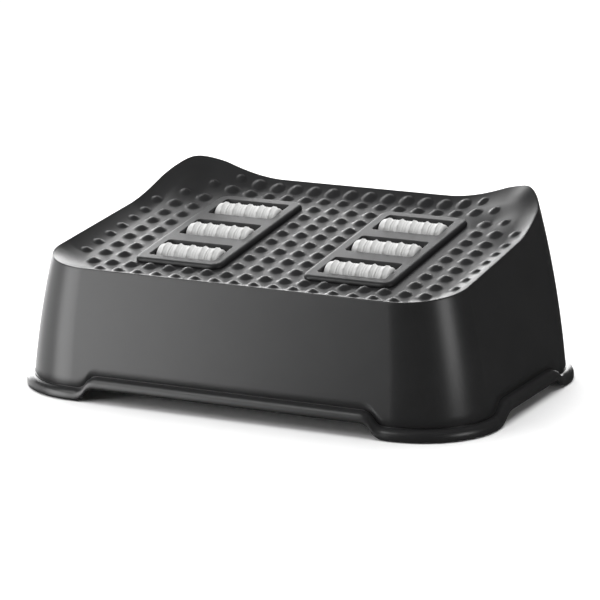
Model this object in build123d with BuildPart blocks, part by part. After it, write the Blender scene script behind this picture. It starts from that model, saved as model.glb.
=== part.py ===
from build123d import *
import os
from math import asin, atan2, cos, degrees, hypot, radians, sin, sqrt, tan

# Foot-rest stool with a tilted, nubbed deck and two panels of massage rollers.
# +X is the sitter's left to right, +Y is away from the sitter, +Z is up. Millimetres.
# The origin is on the floor under the middle of the base.

# Base outline, over the rolled rim
base_width = 407.0
base_depth = 281.0
base_corner_radius = 66.0

# Walls: draft at the rim, and at deck height how much further they lean in and their corners tighten,
# and how much less the rear one leans than the front one
wall_thickness = 2.8
side_draft = 7.07
end_draft = 2.83
side_bow = 6.4
end_bow = 3.45
rear_stand = 1.5
corner_tightening = 13.0
wall_sections = 5

# Rolled rim, and how it lifts between the feet
rim_projection = 6.2
rim_height = 9.0
rim_round = 5.6
end_arch_foot = 134.5
end_arch_ramp = 20.0
end_arch_rise = 11.0
side_arch_foot = 72.0
side_arch_ramp = 26.0
side_arch_rise = 9.0

# Deck: a tilted plane, a lip that curls up to the rim and widens at the front, and a horn at each rear corner
deck_height = 112.8
deck_tilt = 7.48
deck_thickness = 3.5
deck_underside_trim = 0.3
lip_height = 9.4
lip_width = 22.0
front_lip_width = 40.0
front_lip_start = 70.0
front_lip_end = 110.0
horn_height = 26.0
horn_reach = 70.0
horn_width = 58.0
horn_round = 10.0
horn_side_inset = 26.0
horn_back_inset = 18.9
deck_sample = 10.0
deck_tolerance = 0.05

# Nubs on the deck
nub_columns = 20
nub_rows = 12
nub_pitch_x = 17.0
nub_pitch_y = 20.4
nub_grid_shift = 6.6
rear_row_inset = 3.5
nub_radius = 5.3
nub_height = 3.0
end_nub_radius = 3.9
end_nub_height = 2.1
nub_root = 1.4
nub_full_rows = (2, 8)

# Roller panels
panel_spacing = 148.5
panel_shift = -3.5
rollers_per_panel = 3
bezel_width = 77.0
bezel_depth = 162.0
bezel_height = 4.0
bezel_seat = 1.0
bezel_corner = 9.0
bezel_edge = 2.0
bezel_clearance = 0.4
window_width = 58.0
window_depth = 36.0
window_pitch = 52.5
window_corner = 2.5

# Skirt of the roller frame, which hangs through the deck and carries the axles
rail_thickness = 5.0
skirt_end_wall = 2.5
skirt_web = 2.5
skirt_clearance = 0.5
floor_room = 2.5
hub_radius = 5.0
boss_radius = 4.5
screw_offset = 20.0

# Axles and rollers
axle_radius = 2.0
axle_grip = 4.0
axle_end_clearance = 0.2
axle_chamfer = 0.4
slot_clearance = 0.05
axle_drop = 4.6
roller_length = 56.4
roller_end_play = 0.4
roller_bore_clearance = 0.05
roller_valley_radius = 11.0
roller_end_chamfer = 1.6
ring_count = 5
ring_pitch = 11.0
ring_width = 6.4
ring_height = 1.5
nibs_per_ring = 12

# Tray that closes each panel from below
tray_wall = 2.0
tray_clearance = 0.6
tray_flange = 7.0
tray_corner = 4.0
finger_clearance = 0.05

# Screws from the tray into the frame
screw_radius = 1.5
screw_head_radius = 3.2
screw_head_height = 2.0
screw_bite = 10.0
screw_thread_clearance = 0.05
screw_hole_clearance = 0.3
screw_tip_room = 1.0

# Stiffening ribs under the deck
rib_thickness = 2.0
rib_depth = 20.0
rib_gap = 6.0

# Rubber feet in posts inside the corners
foot_inset = 22.0
foot_proud = 0.8
foot_radius = 12.5
foot_chamfer = 0.8
plug_radius = 6.0
plug_length = 12.0
plug_clearance = 0.1
plug_room = 1.0
post_radius = 9.5
post_height = 26.0
gusset_thickness = 2.4

# Sizes that follow from the ones above
rim_level = foot_proud + rim_height / 2
tilt_slope = tan(radians(deck_tilt))
horn_crest = deck_height + tilt_slope * base_depth / 2 + lip_height + horn_height
blank_top = horn_crest + lip_height
opening_width = window_width + 2 * (rail_thickness + skirt_clearance)
opening_depth = (rollers_per_panel - 1) * window_pitch + window_depth + 2 * (skirt_end_wall + skirt_clearance)
nib_tip_radius = roller_valley_radius + ring_height
deck_seat = deck_thickness - deck_underside_trim
tray_floor = axle_drop + nib_tip_radius + floor_room
skirt_height = tray_floor - bezel_seat
flange_width = opening_width + 2 * tray_flange
flange_depth = opening_depth + 2 * tray_flange
hub_face = roller_length / 2 + roller_end_play
axle_half = window_width / 2 + axle_grip
roller_rows = [(row - (rollers_per_panel - 1) / 2) * window_pitch for row in range(rollers_per_panel)]
bar_rows = [(near + far) / 2 for near, far in zip(roller_rows, roller_rows[1:])]
screw_points = [(side * screw_offset, bar) for side in (-1, 1) for bar in bar_rows]
foot_reach = (base_corner_radius - foot_inset) * sqrt(0.5)
foot_x = base_width / 2 - base_corner_radius + foot_reach
foot_y = base_depth / 2 - base_corner_radius + foot_reach
foot_points = [(x * foot_x, y * foot_y) for x in (-1, 1) for y in (-1, 1)]

arch_sides = (
    (Plane.XZ, base_width / 2, end_arch_foot, end_arch_ramp, end_arch_rise, base_depth),
    (Plane.YZ, base_depth / 2, side_arch_foot, side_arch_ramp, side_arch_rise, base_width),
)

deck_plane = Plane(
    origin=(0, nub_grid_shift, deck_height + tilt_slope * nub_grid_shift),
    x_dir=(1, 0, 0),
    z_dir=(0, -sin(radians(deck_tilt)), cos(radians(deck_tilt))),
)


def wall_size(level):
    """Half width, half depth, corner radius and middle in Y of the walls at one height."""
    rise = level - rim_level
    share = rise / (deck_height - rim_level)
    half_width = base_width / 2 - rim_projection - rise * tan(radians(side_draft)) - side_bow * share**2
    middle = rear_stand / 2 * share
    half_depth = base_depth / 2 - rim_projection - rise * tan(radians(end_draft)) - end_bow * share**2 + middle
    return half_width, half_depth, base_corner_radius - rim_projection - corner_tightening * share, middle


deck_half_width, deck_half_depth, deck_corner, deck_middle = wall_size(deck_height)


def rim_distance(x, y):
    """Distance from a plan point out to the deck's rim, a rounded rectangle, positive inside it."""
    over_x = abs(x) - (deck_half_width - deck_corner)
    over_y = abs(y - deck_middle) - (deck_half_depth - deck_corner)
    past_straight = hypot(max(over_x, 0), max(over_y, 0))
    return deck_corner - past_straight - min(max(over_x, over_y), 0)


def deck_top(x, y):
    """Height of the deck's upper face: plane, parabolic lip and the nearer rear horn, which fades from the rim."""
    plane = deck_height + tilt_slope * y
    from_rim = rim_distance(x, y)
    to_front = min(max((-y - front_lip_start) / (front_lip_end - front_lip_start), 0), 1)
    width = lip_width + (front_lip_width - lip_width) * to_front
    lip = lip_height * max(0, 1 - from_rim / width) ** 2
    off_x = abs(x) - (deck_half_width - horn_side_inset)
    off_y = y - (deck_middle + deck_half_depth - horn_back_inset)
    off_horn = sqrt(off_x**2 + off_y**2 + horn_round**2) - horn_round
    horn = horn_height * max(0, 1 - off_horn / horn_reach) ** 2 * max(0, 1 - from_rim / horn_width)
    return plane + lip + horn


def deck_face(drop):
    """The deck's face as one smooth surface, lowered by drop and wider than the base."""
    half_x = base_width / 2 + deck_sample
    half_y = base_depth / 2 + deck_sample
    count_x = 1 + 2 * round(half_x / deck_sample)
    count_y = 1 + 2 * round(half_y / deck_sample)
    xs = [half_x * (2 * i / (count_x - 1) - 1) for i in range(count_x)]
    ys = [half_y * (2 * j / (count_y - 1) - 1) for j in range(count_y)]
    points = [[(x, y, deck_top(x, y) - drop) for y in ys] for x in xs]
    return Face.make_surface_from_array_of_points(points, tol=deck_tolerance)


def wall_levels(bottom):
    """Heights of the sections that shape the walls, evenly from one height to above the horns."""
    return [bottom + (blank_top - bottom) * section / (wall_sections - 1) for section in range(wall_sections)]


def wall_outline(level, inset):
    """Rounded rectangle of the walls at one height, drawn in by inset."""
    half_width, half_depth, radius, middle = wall_size(level)
    with Locations((0, middle)):
        RectangleRounded(2 * (half_width - inset), 2 * (half_depth - inset), radius - inset)


def arch_line(half_run, foot, ramp, rise):
    """Rim line along one side: level on the feet, then two tangent arcs up to the arch at each end."""
    Line((foot - ramp, rise), (ramp - foot, rise))
    for side in (-1, 1):
        middle = (side * (foot - ramp / 2), rise / 2)
        Line((side * half_run, 0), (side * foot, 0))
        TangentArc((side * foot, 0), middle, tangent=(-side, 0))
        TangentArc((side * (foot - ramp), rise), middle, tangent=(side, 0))


def arch_face(half_run, foot, ramp, rise):
    """Area under the rim line of one side, down to below the floor."""
    with BuildLine() as outline:
        arch_line(half_run, foot, ramp, rise)
        Polyline((-half_run, 0), (-half_run, -base_depth), (half_run, -base_depth), (half_run, 0))
    make_face(outline.edges())


def arch_plane(across, level):
    """Upright plane through the origin's axis with its own origin at one height."""
    return Plane(origin=(0, 0, level), x_dir=across.x_dir, z_dir=across.z_dir)


def on_outer_top(edge):
    """Whether an edge runs along the base outline at the top of the rim, and isn't an upright joint."""
    middle = edge @ 0.5
    over_x = max(abs(middle.X) - (base_width / 2 - base_corner_radius), 0)
    over_y = max(abs(middle.Y) - (base_depth / 2 - base_corner_radius), 0)
    upright = abs((edge % 0.5).Z) > cos(radians(side_draft))
    outermost = hypot(over_x, over_y) > base_corner_radius - wall_thickness / 2
    return outermost and middle.Z > rim_level and not upright


def panel_plane(side):
    """Deck plane moved to the middle of the left (-1) or right (1) roller panel."""
    middle = deck_plane.from_local_coords((side * panel_spacing / 2, panel_shift, 0))
    return Plane(origin=middle, x_dir=deck_plane.x_dir, z_dir=deck_plane.z_dir)


def axle_plane(panel, row):
    """Plane across one axle at its middle, with its normal along the axle."""
    middle = panel.from_local_coords((0, row, -axle_drop))
    return Plane(origin=middle, x_dir=panel.y_dir, z_dir=panel.x_dir)


def nub_plane(u, v):
    """Plane that touches the deck at grid place (u, v), or None where a roller panel is in the way."""
    y = nub_grid_shift + v * cos(radians(deck_tilt))
    step = 0.5
    slope_x = (deck_top(u + step, y) - deck_top(u - step, y)) / (2 * step)
    slope_y = (deck_top(u, y + step) - deck_top(u, y - step)) / (2 * step)
    clear_u = abs(abs(u) - panel_spacing / 2) - bezel_width / 2 - nub_radius
    clear_v = abs(v - panel_shift) - bezel_depth / 2 - nub_radius
    if max(clear_u, clear_v) < 0:
        return None
    return Plane(origin=(u, y, deck_top(u, y)), z_dir=(-slope_x, -slope_y, 1))


def nub_places():
    """Places of the full nubs and of the smaller ones that end each row."""
    full, ends = [], []
    first_full, last_full = nub_full_rows
    for row in range(nub_rows):
        trimmed = max(0, first_full - row, row - last_full)
        for column in range(trimmed, nub_columns - trimmed):
            u = (column - (nub_columns - 1) / 2) * nub_pitch_x
            v = (row - (nub_rows - 1) / 2) * nub_pitch_y - rear_row_inset * (row == nub_rows - 1)
            place = nub_plane(u, v)
            at_end = column in (trimmed, nub_columns - 1 - trimmed)
            if place is not None:
                (ends if at_end and row >= first_full else full).append(place)
    return full, ends


def nub_caps(places, radius, height):
    """Spherical caps of one size, rooted in the deck at each place."""
    ball = (radius**2 + height**2) / (2 * height)
    cut = degrees(asin((ball - height - nub_root) / ball))
    with Locations(*[place.offset(height) for place in places]):
        Sphere(ball, arc_size1=cut, align=(Align.CENTER, Align.CENTER, Align.MAX))


os.makedirs("parts", exist_ok=True)

# Rolled rim: a plate over the whole base, kept only between the arch line and the same line rim_height up.
# The hollow under the deck is cut through it later, which leaves the rim.
with BuildPart() as rim_band:
    for across, half_run, foot, ramp, rise, reach in arch_sides:
        with BuildSketch(arch_plane(across, foot_proud + rim_height)):
            arch_face(half_run, foot, ramp, rise)
        extrude(amount=reach, both=True)
with BuildPart() as rim:
    with BuildSketch(Plane.XY.offset(foot_proud)):
        RectangleRounded(base_width, base_depth, base_corner_radius)
    extrude(amount=rim_height + max(end_arch_rise, side_arch_rise))
    add(rim_band.part, mode=Mode.INTERSECT)
    fillet(rim.edges().filter_by(on_outer_top), rim_round)
    for across, half_run, foot, ramp, rise, reach in arch_sides:
        with BuildSketch(arch_plane(across, foot_proud)):
            arch_face(half_run, foot, ramp, rise)
        extrude(amount=reach, both=True, mode=Mode.SUBTRACT)

# Hollow under the deck, less the ribs, posts and gussets that stand in it
with BuildPart() as cavity:
    for level in wall_levels(0):
        with BuildSketch(Plane.XY.offset(level)):
            wall_outline(level, wall_thickness)
    loft()
    extrude(deck_face(deck_thickness), amount=blank_top, dir=(0, 0, 1), mode=Mode.SUBTRACT)
    with BuildSketch(deck_plane.offset(-rib_depth)):
        rib_x = panel_spacing / 2 + flange_width / 2 + rib_gap
        with Locations((-rib_x, 0), (0, 0), (rib_x, 0)):
            Rectangle(rib_thickness, base_depth)
        rib_v = flange_depth / 2 + rib_gap
        with Locations((0, panel_shift - rib_v), (0, panel_shift + rib_v)):
            Rectangle(base_width, rib_thickness)
    extrude(amount=blank_top, mode=Mode.SUBTRACT)
    with BuildSketch(Plane.XY.offset(rim_level)):
        with Locations(*foot_points):
            Circle(post_radius)
        for x, y in foot_points:
            outward = 45 if x * y > 0 else -45
            reach = foot_inset * sqrt(0.5) / 2
            with Locations((x + reach * (1 if x > 0 else -1), y + reach * (1 if y > 0 else -1))):
                Rectangle(foot_inset, gusset_thickness, rotation=outward)
    extrude(amount=post_height, mode=Mode.SUBTRACT)

# Body shell
full_nubs, end_nubs = nub_places()
with BuildPart() as body_shell:
    for level in wall_levels(rim_level):
        with BuildSketch(Plane.XY.offset(level)):
            wall_outline(level, 0)
    loft()
    extrude(deck_face(0), amount=blank_top, dir=(0, 0, 1), mode=Mode.SUBTRACT)
    for across, half_run, foot, ramp, rise, reach in arch_sides:
        with BuildSketch(arch_plane(across, rim_level)):
            arch_face(half_run, foot, ramp, rise)
        extrude(amount=reach, both=True, mode=Mode.SUBTRACT)
    add(rim.part)
    add(cavity.part, mode=Mode.SUBTRACT)
    for panel in (panel_plane(-1), panel_plane(1)):
        with BuildSketch(panel.offset(-bezel_seat)):
            seat_width = bezel_width + 2 * bezel_clearance
            seat_depth = bezel_depth + 2 * bezel_clearance
            RectangleRounded(seat_width, seat_depth, bezel_corner + bezel_clearance)
        extrude(amount=bezel_height + lip_height, mode=Mode.SUBTRACT)
        with BuildSketch(panel):
            Rectangle(opening_width, opening_depth)
        extrude(amount=deck_thickness + bezel_height, both=True, mode=Mode.SUBTRACT)
        with BuildSketch(panel.offset(-deck_seat)):
            RectangleRounded(flange_width + rib_gap, flange_depth + rib_gap, tray_corner)
        extrude(amount=-tray_floor, mode=Mode.SUBTRACT)
    with BuildSketch(Plane.XY.offset(rim_level)):
        with Locations(*foot_points):
            Circle(plug_radius + plug_clearance)
    extrude(amount=plug_length + plug_room, mode=Mode.SUBTRACT)
    nub_caps(full_nubs, nub_radius, nub_height)
    nub_caps(end_nubs, end_nub_radius, end_nub_height)
body_shell.part.label = "body_shell"
export_step(body_shell.part, "parts/body_shell.step")


def make_roller_frame(panel):
    """Bezel with a window for each roller, over a skirt whose rails have axle slots open at the bottom."""
    with BuildPart() as frame:
        with BuildSketch(panel.offset(-bezel_seat)):
            RectangleRounded(bezel_width, bezel_depth, bezel_corner)
        extrude(amount=bezel_seat + bezel_height)
        fillet(frame.faces().sort_by(Axis(panel.origin, panel.z_dir))[-1].edges(), bezel_edge)
        with BuildSketch(panel.offset(-bezel_seat)):
            Rectangle(opening_width - 2 * skirt_clearance, opening_depth - 2 * skirt_clearance)
        extrude(amount=-skirt_height)
        with BuildSketch(panel.offset(bezel_height)):
            with Locations(*[(0, row) for row in roller_rows]):
                RectangleRounded(window_width, window_depth, window_corner)
        extrude(amount=-(bezel_height + tray_floor), mode=Mode.SUBTRACT)
        with BuildSketch(panel.offset(-bezel_seat)):
            with Locations(*[(0, bar) for bar in bar_rows]):
                Rectangle(window_width, window_pitch - window_depth - 2 * skirt_web)
        extrude(amount=-skirt_height, mode=Mode.SUBTRACT)
        with BuildSketch(panel.offset(-bezel_seat)):
            with Locations(*screw_points):
                Circle(boss_radius)
        extrude(amount=-skirt_height)
        with BuildSketch(panel.offset(-tray_floor)):
            with Locations(*screw_points):
                Circle(screw_radius + screw_thread_clearance)
        extrude(amount=screw_bite + screw_tip_room, mode=Mode.SUBTRACT)
        drop = tray_floor - axle_drop
        for row in roller_rows:
            across = axle_plane(panel, row)
            for side in (-1, 1):
                with BuildSketch(across.offset(side * hub_face)):
                    Circle(hub_radius)
                    with Locations((0, -drop / 2)):
                        Rectangle(2 * hub_radius, drop)
                extrude(amount=side * (window_width / 2 - hub_face))
            with BuildSketch(across):
                Circle(axle_radius + slot_clearance)
                with Locations((0, -drop / 2)):
                    Rectangle(2 * (axle_radius + slot_clearance), drop)
            extrude(amount=axle_half + axle_end_clearance, both=True, mode=Mode.SUBTRACT)
    return frame.part


def make_roller_tray(panel):
    """Pan under a roller frame, with a flange against the deck and a finger under each axle end."""
    with BuildPart() as tray:
        inner_width = opening_width + 2 * (tray_clearance - skirt_clearance)
        inner_depth = opening_depth + 2 * (tray_clearance - skirt_clearance)
        with BuildSketch(panel.offset(-deck_seat)):
            RectangleRounded(flange_width, flange_depth, tray_corner)
        extrude(amount=-tray_wall)
        with BuildSketch(panel.offset(-deck_seat)):
            RectangleRounded(inner_width + 2 * tray_wall, inner_depth + 2 * tray_wall, tray_corner)
        extrude(amount=-(tray_floor + tray_wall - deck_seat))
        with BuildSketch(panel.offset(-tray_floor)):
            Rectangle(inner_width, inner_depth)
        extrude(amount=tray_floor, mode=Mode.SUBTRACT)
        with BuildSketch(panel.offset(-tray_floor)):
            finger_middle = (window_width + axle_grip) / 2
            with Locations(*[(side * finger_middle, row) for side in (-1, 1) for row in roller_rows]):
                Rectangle(axle_grip - 2 * axle_end_clearance, 2 * axle_radius - axle_chamfer)
        extrude(amount=tray_floor - axle_drop - axle_radius - finger_clearance)
        with BuildSketch(panel.offset(-tray_floor)):
            with Locations(*screw_points):
                Circle(screw_radius + screw_hole_clearance)
        extrude(amount=-tray_wall, mode=Mode.SUBTRACT)
    return tray.part


def make_tray_screws(panel):
    """The self-tapping screws of one panel, each a shank with a domed head under the tray."""
    with BuildPart() as screws:
        under = panel.offset(-(tray_floor + tray_wall))
        with BuildSketch(under):
            with Locations(*screw_points):
                Circle(screw_head_radius)
        extrude(amount=-screw_head_height)
        fillet(screws.faces().group_by(Axis(panel.origin, panel.z_dir))[0].edges(), screw_head_height / 2)
        with BuildSketch(under):
            with Locations(*screw_points):
                Circle(screw_radius)
        extrude(amount=tray_wall + screw_bite)
    return screws.part


def make_axle(panel, row):
    """Steel pin with broken edges at both ends."""
    with BuildPart() as axle:
        with BuildSketch(axle_plane(panel, row)):
            Circle(axle_radius)
        extrude(amount=axle_half, both=True)
        chamfer(axle.edges().filter_by(GeomType.CIRCLE), axle_chamfer)
    return axle.part


def make_roller():
    """Roller about the X axis with broken ends and rings of nibs: polygons that taper away on both sides."""
    rings = [(ring - (ring_count - 1) / 2) * ring_pitch for ring in range(ring_count)]
    slant = degrees(atan2(ring_height, ring_width / 2))
    with BuildPart() as roller:
        with BuildSketch(Plane.YZ):
            Circle(roller_valley_radius)
        extrude(amount=roller_length / 2, both=True)
        chamfer(roller.edges().filter_by(GeomType.CIRCLE), roller_end_chamfer)
        for ring, middle in enumerate(rings):
            turn = 180 / nibs_per_ring * (ring % 2)
            with BuildSketch(Plane.YZ.offset(middle)):
                RegularPolygon(nib_tip_radius, nibs_per_ring, rotation=turn)
            extrude(amount=ring_width / 2, both=True, taper=slant)
        with BuildSketch(Plane.YZ):
            Circle(axle_radius + roller_bore_clearance)
        extrude(amount=roller_length, both=True, mode=Mode.SUBTRACT)
    return roller.part


def make_foot(x, y):
    """Rubber foot: a disc under the post and the rim's height thick, with a plug pushed up into the post."""
    with BuildPart() as foot:
        with BuildSketch(Plane.XY):
            with Locations((x, y)):
                Circle(foot_radius)
        extrude(amount=rim_level)
        chamfer(foot.faces().sort_by(Axis.Z)[0].edges(), foot_chamfer)
        with BuildSketch(Plane.XY.offset(rim_level)):
            with Locations((x, y)):
                Circle(plug_radius)
        extrude(amount=plug_length)
    return foot.part


def keep(piece, name):
    """Name one finished piece and write it."""
    piece.label = name
    export_step(piece, f"parts/{name}.step")


# The two panels are alike, so each piece is made for the left one and set down again on the right
left_panel = panel_plane(-1)
frame, tray, screws = make_roller_frame(left_panel), make_roller_tray(left_panel), make_tray_screws(left_panel)
axles = [make_axle(left_panel, row) for row in roller_rows]
roller = make_roller()
row_names = ("front", "middle", "rear")
for side_name, shift in (("left", Location((0, 0, 0))), ("right", Location((panel_spacing, 0, 0)))):
    keep(shift * frame, f"{side_name}_roller_frame")
    keep(shift * tray, f"{side_name}_roller_tray")
    keep(shift * screws, f"{side_name}_tray_screws")
    for row_name, row, axle in zip(row_names, roller_rows, axles):
        keep(shift * axle, f"{side_name}_{row_name}_axle")
        keep(shift * Location(axle_plane(left_panel, row).origin) * roller, f"{side_name}_{row_name}_roller")

for x, y in foot_points:
    end_name = "front" if y < 0 else "rear"
    side_name = "left" if x < 0 else "right"
    keep(make_foot(x, y), f"{end_name}_{side_name}_foot")
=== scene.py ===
from math import cos, radians, sin, sqrt, tan

import bpy
import numpy as np
from mathutils import Matrix, Vector


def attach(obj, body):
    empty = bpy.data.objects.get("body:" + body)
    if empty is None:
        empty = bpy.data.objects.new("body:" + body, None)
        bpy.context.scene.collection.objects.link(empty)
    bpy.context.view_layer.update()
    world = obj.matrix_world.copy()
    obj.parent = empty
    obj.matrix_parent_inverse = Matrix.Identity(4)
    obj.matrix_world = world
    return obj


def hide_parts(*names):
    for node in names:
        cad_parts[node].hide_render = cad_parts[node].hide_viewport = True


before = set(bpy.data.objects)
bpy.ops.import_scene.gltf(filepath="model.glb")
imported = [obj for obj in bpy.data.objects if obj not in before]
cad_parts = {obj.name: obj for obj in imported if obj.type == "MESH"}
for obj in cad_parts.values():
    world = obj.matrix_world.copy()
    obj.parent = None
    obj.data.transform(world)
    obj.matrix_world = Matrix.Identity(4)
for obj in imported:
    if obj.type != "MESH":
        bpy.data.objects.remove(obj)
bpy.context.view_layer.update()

# Looks of a foot-rest stool: a charcoal moulding with a nubbed, tilted deck and two panels of white rollers.
# Sizes are millimetres in the part's own frame, and make_piece turns them into metres.
MM = 0.001

# Moulding: rolled lip round the foot, drafted walls, and arches between the feet
base_half = np.array([203.5, 140.5])
base_corner = 66.0
rim_level = 5.3
rim_foot = 0.8
rim_projection = 6.2
wall_draft = np.tan(np.radians([7.07, 2.83]))
wall_bow = np.array([6.4, 3.45])
rear_stand = 1.5
corner_tightening = 13.0
wall_thickness = 2.8
edge_round = 1.5
lip_top = 9.0
lip_round = 5.6
lip_wall = 2.2
lip_channel = 5.5
lip_sink = 0.3
crown_share = 0.4
crown_rise = 0.12
channel_round = 1.0
fold_round = 0.4
# Groove over the lip as (drop, depth into the wall), and the lip's lower edge as (rise, inset)
groove_rise = 1.4
groove_section = [(0.5, 0.25), (0.9, 0.7), (1.5, 0.7)]
lip_foot_section = [(0.8, 0.0), (0.25, 0.25), (0.0, 0.8), (0.0, lip_wall - 0.3), (0.3, lip_wall)]
end_arch = dict(foot=134.5, ramp=20.0, rise=11.0)
side_arch = dict(foot=72.0, ramp=26.0, rise=9.0)

# Deck: tilted plane, curled lip and two rear horns
deck_height = 112.8
deck_tilt = radians(7.48)
deck_thickness = 3.5
curl_height = 9.4
curl_width = 22.0
front_curl_width = 40.0
front_curl_start = 70.0
front_curl_end = 110.0
horn_height = 26.0
horn_reach = 70.0
horn_round = 10.0
horn_width = 58.0
horn_middle = np.array([151.5, 108.1])

# Nubs: bells on a grid whose front and rear rows lose one at each end per row towards the corners
nub_columns = 20
nub_rows = 12
nub_pitch = np.array([17.0, 20.4])
nub_grid_shift = 6.6
rear_row_inset = 3.5
nub_radius = 6.7
nub_height = 3.1
end_nub_radius = 4.9
end_nub_height = 2.2
nub_edge = 1.55
nub_room = 5.3
first_full_row = 2
last_full_row = 8
least_radius = 0.1

# Roller panels, in the deck's own plane
panel_offset = 74.25
panel_shift = -3.5
bezel_half = np.array([38.5, 81.0])
bezel_corner = 9.0
bezel_top = 4.0
bezel_foot = -1.0
bezel_round = 3.0
window_half = np.array([29.0, 18.0])
window_corner = 2.5
window_edge = 0.6
window_draft = np.array([0.2, 1.8])
draft_level = -8.0
skirt_half = np.array([34.0, 73.0])
skirt_foot = -18.4
face_guard = 0.3
opening_half = np.array([34.5, 73.5])
tray_half = np.array([41.5, 80.5])
roller_rows = {"front": -52.5, "middle": 0.0, "rear": 52.5}
axle_drop = 4.6

# Rollers: a bore with a hub in a shallow recess at each end, and rings of nibs on a finely rippled body
roller_length = 56.4
roller_bore = 2.05
hub_wall = 1.5
end_recess = 1.2
recess_radius = 6.0
recess_rim = 6.6
roller_valley = 11.0
shoulder_round = 3.0
ring_count = 5
ring_pitch = 11.0
ring_width = 5.0
ring_height = 1.5
crest_power = 1.2
nibs_per_ring = 12
nib_depth = 0.3
rib_pitch = 2.2
rib_rise = 0.16
seam_place = 16.5
seam_half_width = 0.35
seam_depth = 0.5

# Inside of the moulding
rib_half_thickness = 1.0
rib_depth = 20.0
rib_gap = 6.0
rib_bury = 1.2
post_radius = 9.5
post_height = 26.0
plug_radius = 6.1
plug_depth = 13.0
foot_inset = 22.0
gusset_half_thickness = 1.2
gusset_bury = 1.5
gusset_foot_reach = 4.5
gusset_top_reach = 1.8

# Counts of points along each shape
deck_columns = 337
deck_straight = 116
deck_corner = 72
underside_step = 4
edge_samples = 8
wall_samples = 14
lip_samples = 10
inner_samples = 10
rib_samples = 60
post_samples = 48
frame_side_steps = 24
frame_corner_steps = 8
bezel_samples = 9
window_samples = 5
body_samples = 241
shoulder_samples = 7
samples_per_nib = 8
crossing_rounds = 12
rib_rounds = 8
same_place = 1e-6

# Finishes: a broad mottle and a fine grain
mottle_scale = 35.0
mottle_detail = 4.0
grain_detail = 3.0
mottle_low = 0.3
mottle_high = 0.7
gloss_spread = 0.06
grain_depth = 0.0002


def grid_faces(rows, columns, closed_rows=False, closed_columns=False, flip=False):
    """Quads between neighbours on a grid of rows by columns, joined end to start where it is closed."""
    index = np.arange(rows * columns).reshape(rows, columns)
    if closed_rows:
        index = np.vstack([index, index[:1]])
    if closed_columns:
        index = np.hstack([index, index[:, :1]])
    corners = [index[:-1, :-1], index[:-1, 1:], index[1:, 1:], index[1:, :-1]]
    quads = np.stack(corners, axis=-1).reshape(-1, 4)
    return quads[:, ::-1] if flip else quads


def surface(points, **kind):
    """Points of a grid as one list, with its quads."""
    rows, columns = points.shape[:2]
    return points.reshape(-1, 3), grid_faces(rows, columns, **kind)


def joined(*surfaces):
    """Several surfaces as one list of points and one of quads."""
    starts = np.cumsum([0] + [len(points) for points, _ in surfaces[:-1]])
    quads = np.vstack([faces + start for (_, faces), start in zip(surfaces, starts)])
    return np.vstack([points for points, _ in surfaces]), quads


def make_piece(name, shape, material, body, slot, *nodes):
    """Mesh object from points and quads, riding on a body in place of CAD nodes."""
    points, quads = shape
    used, quads = np.unique(quads, return_inverse=True)
    points, quads = points[used] * MM, quads.reshape(-1, 4).astype(np.int32)
    mesh = bpy.data.meshes.new(name)
    mesh.vertices.add(len(points))
    mesh.vertices.foreach_set("co", points.astype(np.float32).ravel())
    mesh.loops.add(quads.size)
    mesh.loops.foreach_set("vertex_index", quads.ravel())
    mesh.polygons.add(len(quads))
    mesh.polygons.foreach_set("loop_start", np.arange(0, quads.size, 4, dtype=np.int32))
    mesh.polygons.foreach_set("use_smooth", np.ones(len(quads), dtype=bool))
    mesh.update(calc_edges=True)
    mesh.materials.append(material)
    piece = bpy.data.objects.new(name, mesh)
    bpy.context.scene.collection.objects.link(piece)
    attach(piece, body)
    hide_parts(*nodes)


def wall_size(level):
    """Half width, half depth, corner radius and middle in Y of the wall at a height.

    Each half size shrinks by the draft times the rise, and by the bow times the squared share of the rise.
    """
    rise = level - rim_level
    share = rise / (deck_height - rim_level)
    half_x = base_half[0] - rim_projection - wall_draft[0] * rise - wall_bow[0] * share**2
    middle = rear_stand / 2 * share
    half_y = base_half[1] - rim_projection - wall_draft[1] * rise - wall_bow[1] * share**2 + middle
    return half_x, half_y, base_corner - rim_projection - corner_tightening * share, middle


def rim_distance(x, y):
    """Distance in plan from a point out to the deck's rounded-rectangle rim, positive inside it."""
    half_x, half_y, corner_radius, middle = wall_size(deck_height)
    over_x = np.abs(x) - (half_x - corner_radius)
    over_y = np.abs(y - middle) - (half_y - corner_radius)
    past = np.hypot(np.maximum(over_x, 0), np.maximum(over_y, 0))
    return corner_radius - past - np.minimum(np.maximum(over_x, over_y), 0)


def deck_top(x, y):
    """Deck height: a tilted plane, a parabolic curl by the rim and the nearer rear horn, fading inwards."""
    plane = deck_height + tan(deck_tilt) * y
    from_rim = rim_distance(x, y)
    to_front = np.clip((-y - front_curl_start) / (front_curl_end - front_curl_start), 0, 1)
    width = curl_width + (front_curl_width - curl_width) * to_front
    curl = curl_height * np.maximum(0, 1 - from_rim / width) ** 2
    off_x = np.abs(x) - horn_middle[0]
    off_y = y - horn_middle[1]
    off_horn = np.sqrt(off_x**2 + off_y**2 + horn_round**2) - horn_round
    peak = horn_height * np.maximum(0, 1 - off_horn / horn_reach) ** 2
    return plane + curl + peak * np.maximum(0, 1 - from_rim / horn_width)


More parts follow.
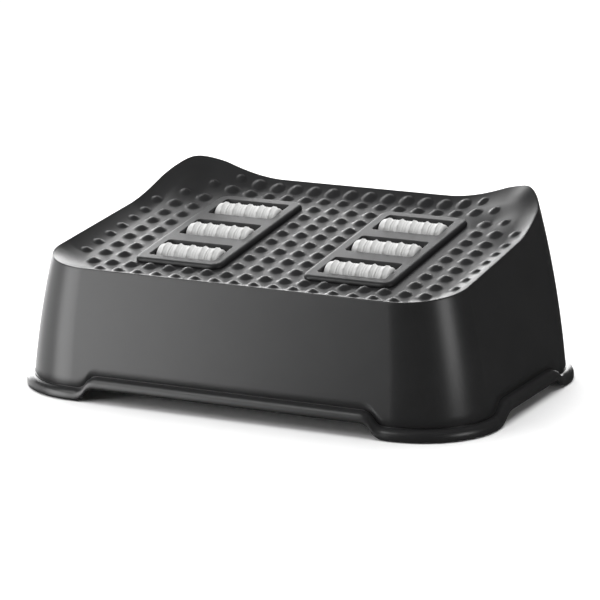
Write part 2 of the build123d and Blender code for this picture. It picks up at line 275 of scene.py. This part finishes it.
def nub_table():
    """Radius and height of the nub at each place of the grid, zero where a corner or a panel leaves none."""
    row, column = np.indices((nub_rows, nub_columns))
    trim = np.maximum(0, np.maximum(first_full_row - row, row - last_full_row))
    u = (column - (nub_columns - 1) / 2) * nub_pitch[0]
    v = (row - (nub_rows - 1) / 2) * nub_pitch[1]
    beside = np.abs(np.abs(u) - panel_offset) - bezel_half[0] > nub_room
    beyond = np.abs(v - panel_shift) - bezel_half[1] > nub_room
    there = (column >= trim) & (column < nub_columns - trim) & (beside | beyond)
    last = ((column == trim) | (column == nub_columns - 1 - trim)) & (row >= first_full_row)
    radius = np.where(last, end_nub_radius, nub_radius) * there
    height = np.where(last, end_nub_height, nub_height) * there
    return radius, height


def nub_rise(x, y):
    """Rise of the nearest nub: its height times a power of one less the squared share of its radius."""
    radii, heights = nub_table()
    v = (y - nub_grid_shift) / cos(deck_tilt)
    column = np.clip(np.rint(x / nub_pitch[0] + (nub_columns - 1) / 2), 0, nub_columns - 1).astype(int)
    row = np.clip(np.rint(v / nub_pitch[1] + (nub_rows - 1) / 2), 0, nub_rows - 1).astype(int)
    off_u = x - (column - (nub_columns - 1) / 2) * nub_pitch[0]
    off_v = v - (row - (nub_rows - 1) / 2) * nub_pitch[1] + rear_row_inset * (row == nub_rows - 1)
    share = np.hypot(off_u, off_v) / np.maximum(radii[row, column], least_radius)
    return heights[row, column] * np.clip(1 - share**2, 0, 1) ** nub_edge


def rim_loop():
    """Once round a rounded rectangle from the front left: places along the straights and ways outwards."""
    turn = np.linspace(-np.pi / 2, 0, deck_corner + 1)
    back_turn = turn + np.pi / 2 + turn[1] - turn[0]
    run = np.linspace(-1, 1, deck_straight + 1)[1:]
    side_place = np.concatenate([np.full(deck_corner + 1, -1.0), run, np.full(deck_corner, 1.0)])
    side_x = np.concatenate([np.cos(turn), np.ones(deck_straight), np.cos(back_turn)[:-1]])
    side_y = np.sqrt(np.clip(1 - side_x**2, 0, 1)) * np.sign(side_place)
    across = np.linspace(-1, 1, deck_columns)
    level = np.ones(deck_columns)
    place_x = np.concatenate([across, np.ones(len(side_x))[1:], -across[1:], -np.ones(len(side_x))[1:-1]])
    place_y = np.concatenate([-level, side_place[1:], level[1:], side_place[::-1][1:-1]])
    out_x = np.concatenate([0 * level, side_x[1:], 0 * level[1:], -side_x[::-1][1:-1]])
    out_y = np.concatenate([-level, side_y[1:], level[1:], side_y[::-1][1:-1]])
    return place_x, place_y, out_x, out_y


loop_place_x, loop_place_y, loop_out_x, loop_out_y = rim_loop()
deck_row_count = 2 * deck_corner + deck_straight + 1


def loop_plan(half_x, half_y, radius):
    """Plan of the loop on a rounded rectangle of those half sizes and corner radius."""
    x = loop_place_x * (half_x - radius) + loop_out_x * radius
    y = loop_place_y * (half_y - radius) + loop_out_y * radius
    return x, y


def wall_plan(level, out=0.0):
    """Plan of the drafted wall's loop at a height, pushed outwards by out."""
    half_x, half_y, radius, middle = wall_size(level)
    x, y = loop_plan(half_x + out, half_y + out, radius + out)
    return x, y + middle


def wall_ring(level, out=0.0):
    """Points of the wall's loop at a height, pushed outwards by out."""
    x, y = wall_plan(level, out)
    return np.stack([x, y, level + 0 * x], axis=-1)


def lip_ring(level, inset):
    """Points of an upright loop round the base, drawn in from its outline."""
    x, y = loop_plan(base_half[0] - inset, base_half[1] - inset, base_corner - inset)
    return np.stack([x, y, level + 0 * x], axis=-1)


def deck_crossing(out, drop):
    """Height where the wall, pushed out by out, meets the deck lowered by drop, by repeated substitution."""
    level = np.full(len(loop_place_x), deck_height)
    for _ in range(crossing_rounds):
        level = deck_top(*wall_plan(level, out)) - drop
    return level


def arch_lift(along, foot, ramp, rise):
    """Lift of the rim along one side: none on the feet, then two equal arcs up to the arch."""
    climb = np.clip(foot - np.abs(along), 0, ramp)
    bend = (ramp**2 + rise**2) / (4 * rise)
    low = bend - np.sqrt(bend**2 - np.minimum(climb, ramp / 2) ** 2)
    high = bend - np.sqrt(bend**2 - np.minimum(ramp - climb, ramp / 2) ** 2)
    return np.where(climb < ramp / 2, low, rise - high)


def rim_base():
    """Height of the rim's lower edge round the loop."""
    x, y = loop_plan(*base_half, base_corner)
    return rim_foot + arch_lift(x, **end_arch) + arch_lift(y, **side_arch)


def patch(loop, columns, rows):
    """Coons patch over a loop: opposite sides blended, less the blend of the four corners."""
    front = loop[:columns]
    right = loop[columns - 1 : columns + rows - 1]
    rear = loop[columns + rows - 2 : 2 * columns + rows - 2][::-1]
    left = np.vstack([loop[2 * columns + rows - 3 :], loop[:1]])[::-1]
    a = ((front[:, 0] - front[0, 0]) / (front[-1, 0] - front[0, 0]))[None, :, None]
    b = ((left[:, 1] - left[0, 1]) / (left[-1, 1] - left[0, 1]))[:, None, None]
    ends = (1 - b) * front[None] + b * rear[None]
    sides = (1 - a) * left[:, None] + a * right[:, None]
    near = (1 - a) * front[0] + a * front[-1]
    far = (1 - a) * rear[0] + a * rear[-1]
    return ends + sides - (1 - b) * near - b * far


def clear_of_openings(points, quads):
    """The quads whose middles are outside the two panel openings."""
    middle = points[quads].mean(axis=1)
    off_u = np.abs(np.abs(middle[:, 0]) - panel_offset)
    off_v = np.abs((middle[:, 1] - nub_grid_shift) / cos(deck_tilt) - panel_shift)
    return quads[(off_u > opening_half[0]) | (off_v > opening_half[1])]


def deck_surface():
    """Deck: a patch inside the rounded edge, raised to the deck's height and the nubs."""
    level = deck_crossing(0, 0)
    x, y = wall_plan(level, -edge_round)
    plan = patch(np.stack([x, y], axis=-1), deck_columns, deck_row_count)
    x, y = plan[..., 0], plan[..., 1]
    points, quads = surface(np.stack([x, y, deck_top(x, y) + nub_rise(x, y)], axis=-1))
    return points, clear_of_openings(points, quads)


def wall_surface():
    """Wall: the loop carried down a section, with one ring of points at each place of the section.

    The section leaves the deck over a rounded edge, follows the draft down to a groove, goes out over the
    rolled lip and round its lower edge, and climbs through the lip's channel to the deck's underside.
    """
    top = deck_crossing(0, 0)
    foot = rim_base()
    edge = deck_top(*wall_plan(top, -edge_round))
    rings = []
    for t in np.linspace(0, 1, edge_samples):
        level = (1 - t) ** 2 * edge + 2 * t * (1 - t) * top + t**2 * (top - edge_round)
        rings.append(wall_ring(level, -edge_round * (1 - t) ** 2))
    groove = foot + lip_top + groove_rise
    down = np.linspace(0, 1, wall_samples)[1:]
    rings += [wall_ring((1 - t) * (top - edge_round) + t * groove) for t in down]
    rings += [wall_ring(groove - drop, -depth) for drop, depth in groove_section]
    inner = wall_ring(foot + lip_top - lip_sink, -lip_sink)
    crown = lip_ring(foot + lip_top, lip_round)
    rings += [inner, (1 - crown_share) * inner + crown_share * crown + [0, 0, crown_rise]]
    for turn in np.radians(np.linspace(90, 0, lip_samples)):
        inset = lip_round * (1 - cos(turn))
        rings.append(lip_ring(foot + lip_top - lip_round * (1 - sin(turn)), inset))
    rings += [lip_ring(foot + rise, inset) for rise, inset in lip_foot_section]
    channel = foot + lip_channel
    rings.append(lip_ring(channel - channel_round, lip_wall))
    rings.append(lip_ring(channel, lip_wall + channel_round))
    rings.append(wall_ring(channel, fold_round - wall_thickness))
    start = channel + fold_round
    rings.append(wall_ring(start, -wall_thickness))
    under = deck_crossing(-wall_thickness, deck_thickness)
    up = np.linspace(0, 1, inner_samples)[1:]
    rings += [wall_ring((1 - t) * start + t * under, -wall_thickness) for t in up]
    return surface(np.stack(rings), closed_columns=True, flip=True)


def underside_surface():
    """Underside of the deck: a coarser patch, a thickness below the deck's height and facing down."""
    level = deck_crossing(-wall_thickness, deck_thickness)
    x, y = wall_plan(level, -wall_thickness)
    loop = np.stack([x, y], axis=-1)[::underside_step]
    columns, rows = [(count - 1) // underside_step + 1 for count in (deck_columns, deck_row_count)]
    plan = patch(loop, columns, rows)
    x, y = plan[..., 0], plan[..., 1]
    points, quads = surface(np.stack([x, y, deck_top(x, y) - deck_thickness], axis=-1), flip=True)
    return points, clear_of_openings(points, quads)


def tube(rings):
    """Tube through rings of points, each end drawn in to the middle of its ring, with its faces outwards."""
    count = rings.shape[1]
    ends = [np.repeat(ring.mean(axis=0)[None, None], count, axis=1) for ring in (rings[0], rings[-1])]
    points, quads = surface(np.concatenate([ends[0], rings, ends[1]]), closed_columns=True)
    a, b, c, d = np.moveaxis(points[quads] - points.mean(axis=0), 1, 0)
    inside_out = np.sum(np.cross(a, b) * c + np.cross(a, c) * d) < 0
    return points, quads[:, ::-1] if inside_out else quads


def inner_reach(axis, place, level, sign):
    """Where a line along one axis, at a place on the other, runs into the wall at a height."""
    half_x, half_y, radius, middle = wall_size(level)
    half, shift = (half_x, half_y), (0.0, middle)
    over = np.clip(abs(place - shift[1 - axis]) - (half[1 - axis] - radius), 0, radius)
    reach = half[axis] - radius + sqrt(radius**2 - over**2)
    return shift[axis] + sign * (reach - wall_thickness + rib_bury)


def rib_line(axis, place, height):
    """One long edge of a rib: straight in plan between the walls, its ends by repeated substitution."""
    ends = [-base_half[axis], base_half[axis]]
    for _ in range(rib_rounds):
        levels = [height(end, place) if axis == 0 else height(place, end) for end in ends]
        ends = [inner_reach(axis, place, level, sign) for level, sign in zip(levels, (-1, 1))]
    run = np.linspace(ends[0], ends[1], rib_samples)
    x, y = (run, place + 0 * run) if axis == 0 else (place + 0 * run, run)
    return np.stack([x, y, height(x, y)], axis=-1)


def rib_top(x, y):
    """Height of a rib's root, just inside the deck."""
    return deck_top(x, y) - deck_thickness + rib_bury


def rib_foot(x, y):
    """Height of a rib's lower edge, a depth below the deck's plane."""
    return deck_height + tan(deck_tilt) * y - rib_depth / cos(deck_tilt) + 0 * x


def rib_surface(axis, place):
    """Rib along one axis: a tube of four edges, its root and its lower edge each moved to both sides."""
    high, low = rib_line(axis, place, rib_top), rib_line(axis, place, rib_foot)
    step = np.zeros(3)
    step[1 - axis] = rib_half_thickness
    return tube(np.stack([high - step, low - step, low + step, high + step], axis=1))


def ribs_surface():
    """Ribs under the deck: one each side of the panels, one between them, one before and one behind them."""
    rib_x = panel_offset + tray_half[0] + rib_gap
    rib_v = tray_half[1] + rib_gap
    rib_y = [nub_grid_shift + (panel_shift + sign * rib_v) * cos(deck_tilt) for sign in (-1, 1)]
    lengthways = [rib_surface(1, x) for x in (-rib_x, 0.0, rib_x)]
    return joined(*lengthways, *[rib_surface(0, y) for y in rib_y])


def post_surface(x_side, y_side):
    """Post over one foot: a half section carried round, hollow for the plug, with a gusset to the wall."""
    corner = base_half - base_corner + (base_corner - foot_inset) * sqrt(0.5)
    radius = np.array([0.0, plug_radius, plug_radius, post_radius, post_radius, 0.0])
    level = rim_level + np.array([plug_depth, plug_depth, 0.0, 0.0, post_height, post_height])
    turn = np.linspace(0, 2 * np.pi, post_samples, endpoint=False)
    x = x_side * corner[0] + radius[:, None] * np.cos(turn)
    y = y_side * corner[1] + radius[:, None] * np.sin(turn)
    post = surface(np.stack([x, y, level[:, None] + 0 * x], axis=-1), closed_columns=True)
    out = np.array([x_side, y_side]) * sqrt(0.5)
    side = np.array([-out[1], out[0]]) * gusset_half_thickness
    foot = np.array([x_side, y_side]) * corner
    rings = []
    for rise, reach in ((0.0, gusset_foot_reach), (post_height, gusset_top_reach)):
        near, far = foot + out * (plug_radius + gusset_bury), foot + out * (post_radius + reach)
        plan = np.stack([near - side, far - side, far + side, near + side])
        rings.append(np.column_stack([plan, np.full(len(plan), rim_level + rise)]))
    return joined(post, tube(np.stack(rings)))


def on_panel(side, u, v, n):
    """Points at (u, v, n) of a panel's plane: along X, up the deck's slope and square to it."""
    v = v + panel_shift
    x = side * panel_offset + u + 0 * v
    y = nub_grid_shift + v * cos(deck_tilt) - n * sin(deck_tilt) + 0 * u
    middle_z = deck_height + tan(deck_tilt) * nub_grid_shift
    z = middle_z + v * sin(deck_tilt) + n * cos(deck_tilt) + 0 * u
    return np.stack(np.broadcast_arrays(x, y, z), axis=-1)


def rounded_loop(side_steps, corner_steps):
    """Once round a rounded rectangle: places on the rectangle through its corners' middles, and ways out."""
    corner = np.array([[-1.0, -1.0], [1.0, -1.0], [1.0, 1.0], [-1.0, 1.0]])
    t = np.linspace(0, 1, side_steps + 1)[:, None]
    bend = np.linspace(0, np.pi / 2, corner_steps + 1)[1:-1]
    places, angles = [], []
    for quarter in range(4):
        start, end = corner[quarter], corner[(quarter + 1) % 4]
        places += [(1 - t) * start + t * end, np.repeat(end[None], len(bend), axis=0)]
        angles += [np.full(len(t), (quarter - 1) * np.pi / 2), (quarter - 1) * np.pi / 2 + bend]
    angle = np.concatenate(angles)
    return np.concatenate(places), np.stack([np.cos(angle), np.sin(angle)], axis=-1)


def frame_cell(side, row_place, low, high):
    """One window's share of a frame: closed rings over the outer edge, top, window walls and skirt."""
    place, out = rounded_loop(frame_side_steps, frame_corner_steps)
    low_is_end, high_is_end = low == -bezel_half[1], high == bezel_half[1]
    at_bar = ((out[:, 1] > 0.5) & (not high_is_end)) | ((out[:, 1] < -0.5) & (not low_is_end))
    share = (1 + place[:, 1]) / 2

    def outer_ring(half, radius, level, bar_level):
        """Ring on the frame's outline of those half sizes, straight and at its own level along a bar."""
        edge_low = -half[1] if low_is_end else low
        edge_high = half[1] if high_is_end else high
        round_off = radius * (low_is_end * (1 - share) + high_is_end * share)
        u = place[:, 0] * (half[0] - round_off) + out[:, 0] * round_off
        reach = (edge_high - edge_low) / 2 - round_off
        v = (edge_high + edge_low) / 2 + place[:, 1] * reach + out[:, 1] * round_off
        return np.stack([u, v, np.where(at_bar, bar_level, level)], axis=-1)

    def window_ring(grow, radius, level):
        """Ring on the window's outline, grown on every side."""
        half = window_half + grow
        uv = place * (half - radius) + out * radius + [0, row_place]
        return np.column_stack([uv, np.full(len(uv), level)])

    rings = [outer_ring(bezel_half, bezel_corner, bezel_foot, bezel_top)]
    for turn in np.linspace(0, np.pi / 2, bezel_samples):
        inset = bezel_round * (1 - cos(turn))
        level = bezel_top - bezel_round * (1 - sin(turn))
        rings.append(outer_ring(bezel_half - inset, bezel_corner - inset, level, bezel_top))
    inset = bezel_round + face_guard
    rings.append(outer_ring(bezel_half - inset, bezel_corner - inset, bezel_top, bezel_top))
    rings.append(window_ring(window_edge + face_guard, window_corner + window_edge, bezel_top))
    for turn in np.linspace(0, np.pi / 2, window_samples):
        grow = window_edge * (1 - sin(turn))
        rings.append(window_ring(grow, window_corner + grow, bezel_top - window_edge * (1 - cos(turn))))
    rings.append(window_ring(-window_draft, window_corner, draft_level))
    rings.append(window_ring(-window_draft, window_corner, skirt_foot))
    rings.append(outer_ring(skirt_half, 0.0, skirt_foot, skirt_foot))
    rings.append(outer_ring(skirt_half, 0.0, bezel_foot, skirt_foot))
    points, quads = surface(np.stack(rings), closed_rows=True, closed_columns=True)
    across = points[quads][..., 1]
    in_bar = np.all(np.abs(across - low) < same_place, axis=1) & (not low_is_end)
    in_bar |= np.all(np.abs(across - high) < same_place, axis=1) & (not high_is_end)
    return on_panel(side, points[:, 0], points[:, 1], points[:, 2]), quads[~in_bar]


def frame_surface(side):
    """Roller frame: three cells that meet along the middles of the bars between the windows."""
    rows = list(roller_rows.values())
    ends = [-bezel_half[1], (rows[0] + rows[1]) / 2, (rows[1] + rows[2]) / 2, bezel_half[1]]
    spans = zip(rows, ends[:-1], ends[1:])
    return joined(*[frame_cell(side, row, low, high) for row, low, high in spans])


def roller_profile():
    """Closed outline of a roller's half section as places along it, radii and shares of the nibs' height.

    It goes round the bore, the recessed ends, the rounded shoulders and the body. The body ripples as a
    cosine, has two seams, and peaks at each ring as a power of the closeness to the ring's middle.
    """
    half = roller_length / 2
    turn = np.linspace(0, np.pi / 2, shoulder_samples)
    body = np.linspace(-half + shoulder_round, half - shoulder_round, body_samples)
    outermost = ring_count // 2
    nearest = np.clip(np.rint(body / ring_pitch), -outermost, outermost)
    from_ring = np.abs(body / ring_pitch - nearest) * ring_pitch
    crest = np.clip(1 - from_ring / (ring_width / 2), 0, 1) ** crest_power
    seam = np.clip(1 - np.abs(np.abs(body) - seam_place) / seam_half_width, 0, 1)
    ripple = rib_rise * np.cos(2 * np.pi * body / rib_pitch) * (1 - crest)
    body_r = roller_valley + ripple - seam_depth * seam
    shoulder_x = -half + shoulder_round * (1 - np.sin(turn))
    shoulder_r = roller_valley - shoulder_round * (1 - np.cos(turn))
    end_x = [-half, -half + end_recess, -half + end_recess, -half]
    end_r = [roller_bore, roller_bore + hub_wall, recess_radius, recess_rim]
    left_x = np.concatenate([end_x, shoulder_x[::-1][:-1]])
    left_r = np.concatenate([end_r, shoulder_r[::-1][:-1]])
    along = np.concatenate([left_x, body, -left_x[::-1]])
    radius = np.concatenate([left_r, body_r, left_r[::-1]])
    share = np.concatenate([0 * left_x, crest, 0 * left_x])
    return along, radius, share


def roller_surface(side, row):
    """Roller: the half section carried round the axle, each ring's crest waving as a cosine into nibs."""
    along, radius, share = roller_profile()
    turn = np.linspace(0, 2 * np.pi, samples_per_nib * nibs_per_ring, endpoint=False)
    ring = np.rint(along / ring_pitch).astype(int)
    shift = np.where(ring % 2 == 0, 0.0, np.pi / nibs_per_ring)
    wave = 0.5 + 0.5 * np.cos(nibs_per_ring * (turn[None, :] + shift[:, None]))
    reach = radius[:, None] + ring_height * share[:, None] * (1 - nib_depth + nib_depth * wave)
    centre = on_panel(side, 0.0, roller_rows[row], -axle_drop)
    x = along[:, None] + 0 * turn[None, :]
    points = np.stack([x, reach * np.cos(turn), reach * np.sin(turn)], axis=-1) + centre
    return surface(points, closed_rows=True, closed_columns=True, flip=True)


def noise_material(name, colour, spread, roughness, grain, bump, specular=0.5, metallic=0.0):
    """Finish whose colour wanders with a broad noise, and its gloss and relief with a fine grain."""
    material = bpy.data.materials.new(name)
    material.use_nodes = True
    nodes, links = material.node_tree.nodes, material.node_tree.links
    shader = nodes["Principled BSDF"]
    shader.inputs["Specular IOR Level"].default_value = specular
    shader.inputs["Metallic"].default_value = metallic
    place = nodes.new("ShaderNodeTexCoord")
    broad = nodes.new("ShaderNodeTexNoise")
    broad.inputs["Scale"].default_value = mottle_scale
    broad.inputs["Detail"].default_value = mottle_detail
    fine = nodes.new("ShaderNodeTexNoise")
    fine.inputs["Scale"].default_value = grain
    fine.inputs["Detail"].default_value = grain_detail
    tone = nodes.new("ShaderNodeValToRGB")
    dark, pale = tone.color_ramp.elements
    dark.position = mottle_low
    dark.color = (*[c * (1 - spread) for c in colour], 1)
    pale.position = mottle_high
    pale.color = (*[min(1, c * (1 + spread)) for c in colour], 1)
    gloss = nodes.new("ShaderNodeMapRange")
    gloss.inputs["To Min"].default_value = roughness - gloss_spread
    gloss.inputs["To Max"].default_value = roughness + gloss_spread
    relief = nodes.new("ShaderNodeBump")
    relief.inputs["Strength"].default_value = bump
    relief.inputs["Distance"].default_value = grain_depth
    links.new(place.outputs["Object"], broad.inputs["Vector"])
    links.new(place.outputs["Object"], fine.inputs["Vector"])
    links.new(broad.outputs["Fac"], tone.inputs["Fac"])
    links.new(tone.outputs["Color"], shader.inputs["Base Color"])
    links.new(fine.outputs["Fac"], gloss.inputs["Value"])
    links.new(gloss.outputs["Result"], shader.inputs["Roughness"])
    links.new(fine.outputs["Fac"], relief.inputs["Height"])
    links.new(relief.outputs["Normal"], shader.inputs["Normal"])
    return material


body_plastic = noise_material("charcoal_plastic", (0.015, 0.015, 0.0154), 0.08, 0.34, 1800.0, 0.12)
frame_plastic = noise_material(
    "frame_plastic", (0.016, 0.016, 0.0164), 0.08, 0.4, 2000.0, 0.1, specular=0.42
)
roller_plastic = noise_material("white_roller_plastic", (0.5, 0.5, 0.495), 0.03, 0.6, 1500.0, 0.12)
axle_steel = noise_material("axle_steel", (0.5, 0.5, 0.51), 0.08, 0.3, 900.0, 0.1, metallic=1.0)
screw_steel = noise_material("screw_zinc", (0.45, 0.45, 0.46), 0.1, 0.4, 700.0, 0.15, metallic=1.0)
foot_rubber = noise_material("foot_rubber", (0.02, 0.02, 0.02), 0.15, 0.8, 1200.0, 0.4, specular=0.3)

# The moulding
make_piece("deck_skin", deck_surface(), body_plastic, "stool", "body_plastic", "body_shell")
make_piece("wall_skin", wall_surface(), body_plastic, "stool", "body_plastic", "body_shell")
make_piece("underside_skin", underside_surface(), body_plastic, "stool", "body_plastic", "body_shell")
make_piece("underside_ribs", ribs_surface(), body_plastic, "stool", "body_plastic", "body_shell")
posts = joined(*[post_surface(x_side, y_side) for x_side in (-1, 1) for y_side in (-1, 1)])
make_piece("foot_posts", posts, body_plastic, "stool", "body_plastic", "body_shell")

# The two panels and their rollers
for side_name, side in (("left", -1), ("right", 1)):
    node = f"{side_name}_roller_frame"
    make_piece(f"{node}_skin", frame_surface(side), frame_plastic, "stool", "frame_plastic", node)
    for row in roller_rows:
        node = f"{side_name}_{row}_roller"
        shape = roller_surface(side, row)
        make_piece(f"{node}_skin", shape, roller_plastic, f"{node}_body", "roller_plastic", node)

# CAD nodes whose shape is right take a finish
finishes = {
    "roller_tray": frame_plastic,
    "tray_screws": screw_steel,
    "axle": axle_steel,
    "foot": foot_rubber,
}
for node_name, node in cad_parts.items():
    for ending, finish in finishes.items():
        if node_name.endswith(ending):
            node.data.materials.clear()
            node.data.materials.append(finish)


def make_floor():
    """Plain pale floor, far larger than the stool."""
    reach = 6.0
    mesh = bpy.data.meshes.new("floor")
    corners = [(-reach, -reach, 0), (reach, -reach, 0), (reach, reach, 0), (-reach, reach, 0)]
    mesh.from_pydata(corners, [], [(0, 1, 2, 3)])
    floor = bpy.data.objects.new("floor", mesh)
    bpy.context.scene.collection.objects.link(floor)
    pale = noise_material("pale_floor", (0.9, 0.9, 0.9), 0.01, 0.9, 20.0, 0.0, specular=0.1)
    mesh.materials.append(pale)
    floor.visible_glossy = False


def make_light(name, place, aim, width, height, power, glossy=True):
    """Soft rectangular light at a place, turned to its aim; without glossy it leaves no reflection."""
    lamp = bpy.data.lights.new(name, "AREA")
    lamp.shape = "RECTANGLE"
    lamp.size = width
    lamp.size_y = height
    lamp.energy = power
    light = bpy.data.objects.new(name, lamp)
    light.location = place
    light.rotation_mode = "QUATERNION"
    light.rotation_quaternion = (Vector(aim) - Vector(place)).to_track_quat("-Z", "Y")
    light.visible_glossy = glossy
    bpy.context.scene.collection.objects.link(light)


def make_camera():
    """Camera where the picture was taken from: about 25 degrees round to the right and 14 up."""
    lens = bpy.data.cameras.new("camera")
    lens.lens = 196.69
    lens.sensor_width = 36.0
    camera = bpy.data.objects.new("camera", lens)
    right = Vector((0.9032, 0.4292, 0.0))
    back = Vector((0.41721, -0.87796, 0.23478))
    place = Vector((1.1052, -2.3283, 0.6884))
    turn = Matrix((right, back.cross(right), back)).transposed().to_4x4()
    camera.matrix_world = Matrix.Translation(place) @ turn
    bpy.context.scene.collection.objects.link(camera)
    bpy.context.scene.camera = camera


# Lights as place, aim, width, height and power; those behind and beside the stool show in the plastic
make_floor()
make_light("front_left_light", (-0.98, -1.0, 0.0), (-0.03, -0.1, 0.0), 0.95, 1.0, 19.0)
make_light("side_light", (-1.7, 0.1, 0.0), (0, 0.1, 0.0), 1.5, 1.0, 6.5)
make_light("upper_front_light", (-0.75, -1.1, 1.1), (0, 0, 0.1), 0.9, 0.6, 7.0)
make_light("rear_left_light", (-0.8, 1.6, 0.9), (0, 0, 0.9), 1.5, 0.9, 6.2)
make_light("rear_low_light", (-0.95, 1.5, 0.15), (0, 0, 0.15), 2.0, 0.6, 27.0)
make_light("rear_strip_light", (-0.95, 1.5, 0.52), (0, 0, 0.52), 1.8, 0.25, 10.0)
make_light("left_light", (-1.5, 1.25, 0.9), (0, 0, 0.9), 1.0, 3.0, 17.0)
make_light("right_light", (1.05, -0.2, 0.2), (0.15, -0.1, 0.06), 0.35, 0.4, 1.9)
make_light("overhead_light", (-0.4, 0.9, 2.8), (-0.4, 0.9, 0), 4.5, 4.5, 185.0, glossy=False)
world = bpy.data.worlds.new("studio")
world.use_nodes = True
background = world.node_tree.nodes["Background"]
background.inputs["Color"].default_value = (1, 1, 1, 1)
background.inputs["Strength"].default_value = 0.05
bpy.context.scene.world = world
bpy.context.scene.view_settings.view_transform = "Standard"
make_camera()
